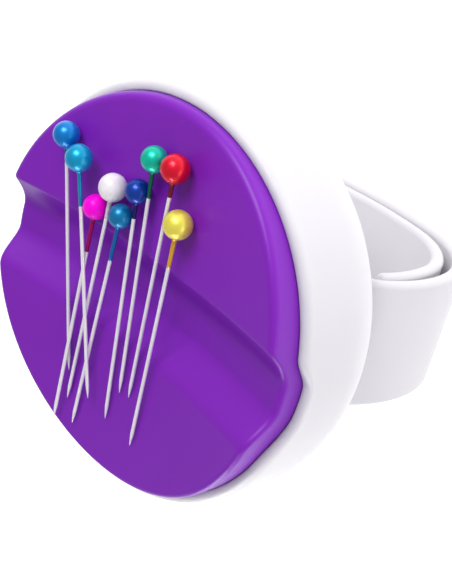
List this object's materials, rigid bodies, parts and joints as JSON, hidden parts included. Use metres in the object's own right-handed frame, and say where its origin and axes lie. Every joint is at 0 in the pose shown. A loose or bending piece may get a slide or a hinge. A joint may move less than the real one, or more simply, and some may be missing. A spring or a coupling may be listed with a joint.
{
  "type": "magnetic wrist pin cushion",
  "caption": "Round magnetic pin holder worn on the wrist: a grooved, dished face in a white case on a curled slap band, holding pearl-headed pins.",
  "frame": {"origin": "middle of the bridge plate's outer face, which lies on the wrist under the case", "axes": "+Z out of the magnetic face, away from the wrist; +X along the groove and along the band; +Y across the band, on the side of the pins' pearls"},
  "size_m": [0.07, 0.07, 0.0689],
  "materials": {
    "case_white": "smooth glossy moulded plastic",
    "cover_purple": "satin moulded plastic",
    "band_silicone": "soft matt silicone",
    "spring_steel": "thin cold-rolled strip",
    "magnet": "dark sintered ferrite",
    "keeper_steel": "plain zinc-plated sheet",
    "bridge_plastic": "fine moulded texture",
    "screw_steel": "plain steel",
    "pin_steel": "bright nickel-plated wire",
    "pearl_blue": "pearlised bead",
    "pearl_teal": "pearlised bead",
    "pearl_magenta": "pearlised bead",
    "pearl_white": "pearlised bead",
    "pearl_navy": "pearlised bead",
    "pearl_steel_blue": "pearlised bead",
    "pearl_green": "pearlised bead",
    "pearl_red": "pearlised bead",
    "pearl_yellow": "pearlised bead"
  },
  "bodies": {
    "case": {"case_body": "case_white", "front_cover": "cover_purple", "magnet_disc": "magnet", "keeper_plate": "keeper_steel", "band_bridge": "bridge_plastic", "bridge_screw_1": "screw_steel", "bridge_screw_2": "screw_steel", "bridge_screw_3": "screw_steel", "bridge_screw_4": "screw_steel", "band_sleeve_middle": "band_silicone", "spring_strip_middle": "spring_steel"},
    "band_outer_1": {"band_sleeve_outer_1": "band_silicone", "spring_strip_outer_1": "spring_steel"},
    "band_outer_2": {"band_sleeve_outer_2": "band_silicone", "spring_strip_outer_2": "spring_steel"},
    "band_outer_3": {"band_sleeve_outer_3": "band_silicone", "spring_strip_outer_3": "spring_steel"},
    "band_outer_4": {"band_sleeve_outer_4": "band_silicone", "spring_strip_outer_4": "spring_steel"},
    "band_outer_5": {"band_sleeve_outer_5": "band_silicone", "spring_strip_outer_5": "spring_steel"},
    "band_outer_6": {"band_sleeve_outer_6": "band_silicone", "spring_strip_outer_6": "spring_steel"},
    "band_inner_1": {"band_sleeve_inner_1": "band_silicone", "spring_strip_inner_1": "spring_steel"},
    "band_inner_2": {"band_sleeve_inner_2": "band_silicone", "spring_strip_inner_2": "spring_steel"},
    "band_inner_3": {"band_sleeve_inner_3": "band_silicone", "spring_strip_inner_3": "spring_steel"},
    "band_inner_4": {"band_sleeve_inner_4": "band_silicone", "spring_strip_inner_4": "spring_steel"},
    "band_inner_5": {"band_sleeve_inner_5": "band_silicone", "spring_strip_inner_5": "spring_steel"},
    "band_inner_6": {"band_sleeve_inner_6": "band_silicone", "spring_strip_inner_6": "spring_steel"},
    "pin_blue": {"pin_blue_pearl": "pearl_blue", "pin_blue_shaft": "pin_steel"},
    "pin_teal": {"pin_teal_pearl": "pearl_teal", "pin_teal_shaft": "pin_steel"},
    "pin_magenta": {"pin_magenta_pearl": "pearl_magenta", "pin_magenta_shaft": "pin_steel"},
    "pin_white": {"pin_white_pearl": "pearl_white", "pin_white_shaft": "pin_steel"},
    "pin_navy": {"pin_navy_pearl": "pearl_navy", "pin_navy_shaft": "pin_steel"},
    "pin_steel_blue": {"pin_steel_blue_pearl": "pearl_steel_blue", "pin_steel_blue_shaft": "pin_steel"},
    "pin_green": {"pin_green_pearl": "pearl_green", "pin_green_shaft": "pin_steel"},
    "pin_red": {"pin_red_pearl": "pearl_red", "pin_red_shaft": "pin_steel"},
    "pin_yellow": {"pin_yellow_pearl": "pearl_yellow", "pin_yellow_shaft": "pin_steel"}
  },
  "joints": [
    {"name": "band_uncurl", "type": "hinge", "parent": "case", "child": "band_outer_1", "pos_m": [0.02358, 0, 0.00106], "axis": [0, -1, 0], "range_deg": [0, 74.2], "stiffness_Nm_per_rad": 0.15},
    {"name": "outer_arm_bend_2", "type": "hinge", "parent": "band_outer_1", "child": "band_outer_2", "pos_m": [0.02715, 0, -0.01247], "axis": [0, -1, 0], "range_deg": [0, 37.2]},
    {"name": "outer_arm_bend_3", "type": "hinge", "parent": "band_outer_2", "child": "band_outer_3", "pos_m": [0.0231, 0, -0.02367], "axis": [0, -1, 0], "range_deg": [0, 37.2]},
    {"name": "outer_arm_bend_4", "type": "hinge", "parent": "band_outer_3", "child": "band_outer_4", "pos_m": [0.01396, 0, -0.02925], "axis": [0, -1, 0], "range_deg": [0, 37.2]},
    {"name": "outer_arm_bend_5", "type": "hinge", "parent": "band_outer_4", "child": "band_outer_5", "pos_m": [-0.01714, 0, -0.02818], "axis": [0, -1, 0], "range_deg": [0, 37.2]},
    {"name": "outer_arm_bend_6", "type": "hinge", "parent": "band_outer_5", "child": "band_outer_6", "pos_m": [-0.02499, 0, -0.02089], "axis": [0, -1, 0], "range_deg": [0, 37.2]},
    {"name": "inner_arm_bend_1", "type": "hinge", "parent": "case", "child": "band_inner_1", "pos_m": [-0.02094, 0, 0.00103], "axis": [0, 1, 0], "range_deg": [0, 59.6]},
    {"name": "inner_arm_bend_2", "type": "hinge", "parent": "band_inner_1", "child": "band_inner_2", "pos_m": [-0.02335, 0, -0.015], "axis": [0, 1, 0], "range_deg": [0, 29.8]},
    {"name": "inner_arm_bend_3", "type": "hinge", "parent": "band_inner_2", "child": "band_inner_3", "pos_m": [-0.01787, 0, -0.02307], "axis": [0, 1, 0], "range_deg": [0, 29.8]},
    {"name": "inner_arm_bend_4", "type": "hinge", "parent": "band_inner_3", "child": "band_inner_4", "pos_m": [0.00667, 0, -0.02627], "axis": [0, 1, 0], "range_deg": [0, 29.8]},
    {"name": "inner_arm_bend_5", "type": "hinge", "parent": "band_inner_4", "child": "band_inner_5", "pos_m": [0.02012, 0, -0.02109], "axis": [0, 1, 0], "range_deg": [0, 29.8]},
    {"name": "inner_arm_bend_6", "type": "hinge", "parent": "band_inner_5", "child": "band_inner_6", "pos_m": [0.02389, 0, -0.01032], "axis": [0, 1, 0], "range_deg": [0, 29.8]},
    {"name": "teal_pin_lift", "type": "slide", "parent": "case", "child": "pin_teal", "axis": [0, 0, 1], "range_m": [0, 0.04]},
    {"name": "magenta_pin_lift", "type": "slide", "parent": "case", "child": "pin_magenta", "axis": [0, 0, 1], "range_m": [0, 0.032]},
    {"name": "white_pin_lift", "type": "slide", "parent": "case", "child": "pin_white", "axis": [0, 0, 1], "range_m": [0, 0.032]},
    {"name": "steel_blue_pin_lift", "type": "slide", "parent": "case", "child": "pin_steel_blue", "axis": [0, 0, 1], "range_m": [0, 0.032]},
    {"name": "blue_pin_lift", "type": "slide", "parent": "case", "child": "pin_blue", "axis": [0, 0, 1], "range_m": [0, 0.024]},
    {"name": "navy_pin_lift", "type": "slide", "parent": "case", "child": "pin_navy", "axis": [0, 0, 1], "range_m": [0, 0.04]},
    {"name": "green_pin_lift", "type": "slide", "parent": "case", "child": "pin_green", "axis": [0, 0, 1], "range_m": [0, 0.04]},
    {"name": "red_pin_lift", "type": "slide", "parent": "case", "child": "pin_red", "axis": [0, 0, 1], "range_m": [0, 0.04]},
    {"name": "yellow_pin_lift", "type": "slide", "parent": "case", "child": "pin_yellow", "axis": [0, 0, 1], "range_m": [0, 0.04]}
  ],
  "couplings": [
    {"joint": "outer_arm_bend_2", "follows": "band_uncurl", "ratio": 0.5},
    {"joint": "outer_arm_bend_3", "follows": "band_uncurl", "ratio": 0.5},
    {"joint": "outer_arm_bend_4", "follows": "band_uncurl", "ratio": 0.5},
    {"joint": "outer_arm_bend_5", "follows": "band_uncurl", "ratio": 0.5},
    {"joint": "outer_arm_bend_6", "follows": "band_uncurl", "ratio": 0.5},
    {"joint": "inner_arm_bend_1", "follows": "band_uncurl", "ratio": 0.8021},
    {"joint": "inner_arm_bend_2", "follows": "band_uncurl", "ratio": 0.401},
    {"joint": "inner_arm_bend_3", "follows": "band_uncurl", "ratio": 0.401},
    {"joint": "inner_arm_bend_4", "follows": "band_uncurl", "ratio": 0.401},
    {"joint": "inner_arm_bend_5", "follows": "band_uncurl", "ratio": 0.401},
    {"joint": "inner_arm_bend_6", "follows": "band_uncurl", "ratio": 0.401},
    {"joint": "magenta_pin_lift", "follows": "teal_pin_lift", "ratio": 0.8},
    {"joint": "white_pin_lift", "follows": "teal_pin_lift", "ratio": 0.8},
    {"joint": "steel_blue_pin_lift", "follows": "teal_pin_lift", "ratio": 0.8},
    {"joint": "blue_pin_lift", "follows": "teal_pin_lift", "ratio": 0.6}
  ]
}
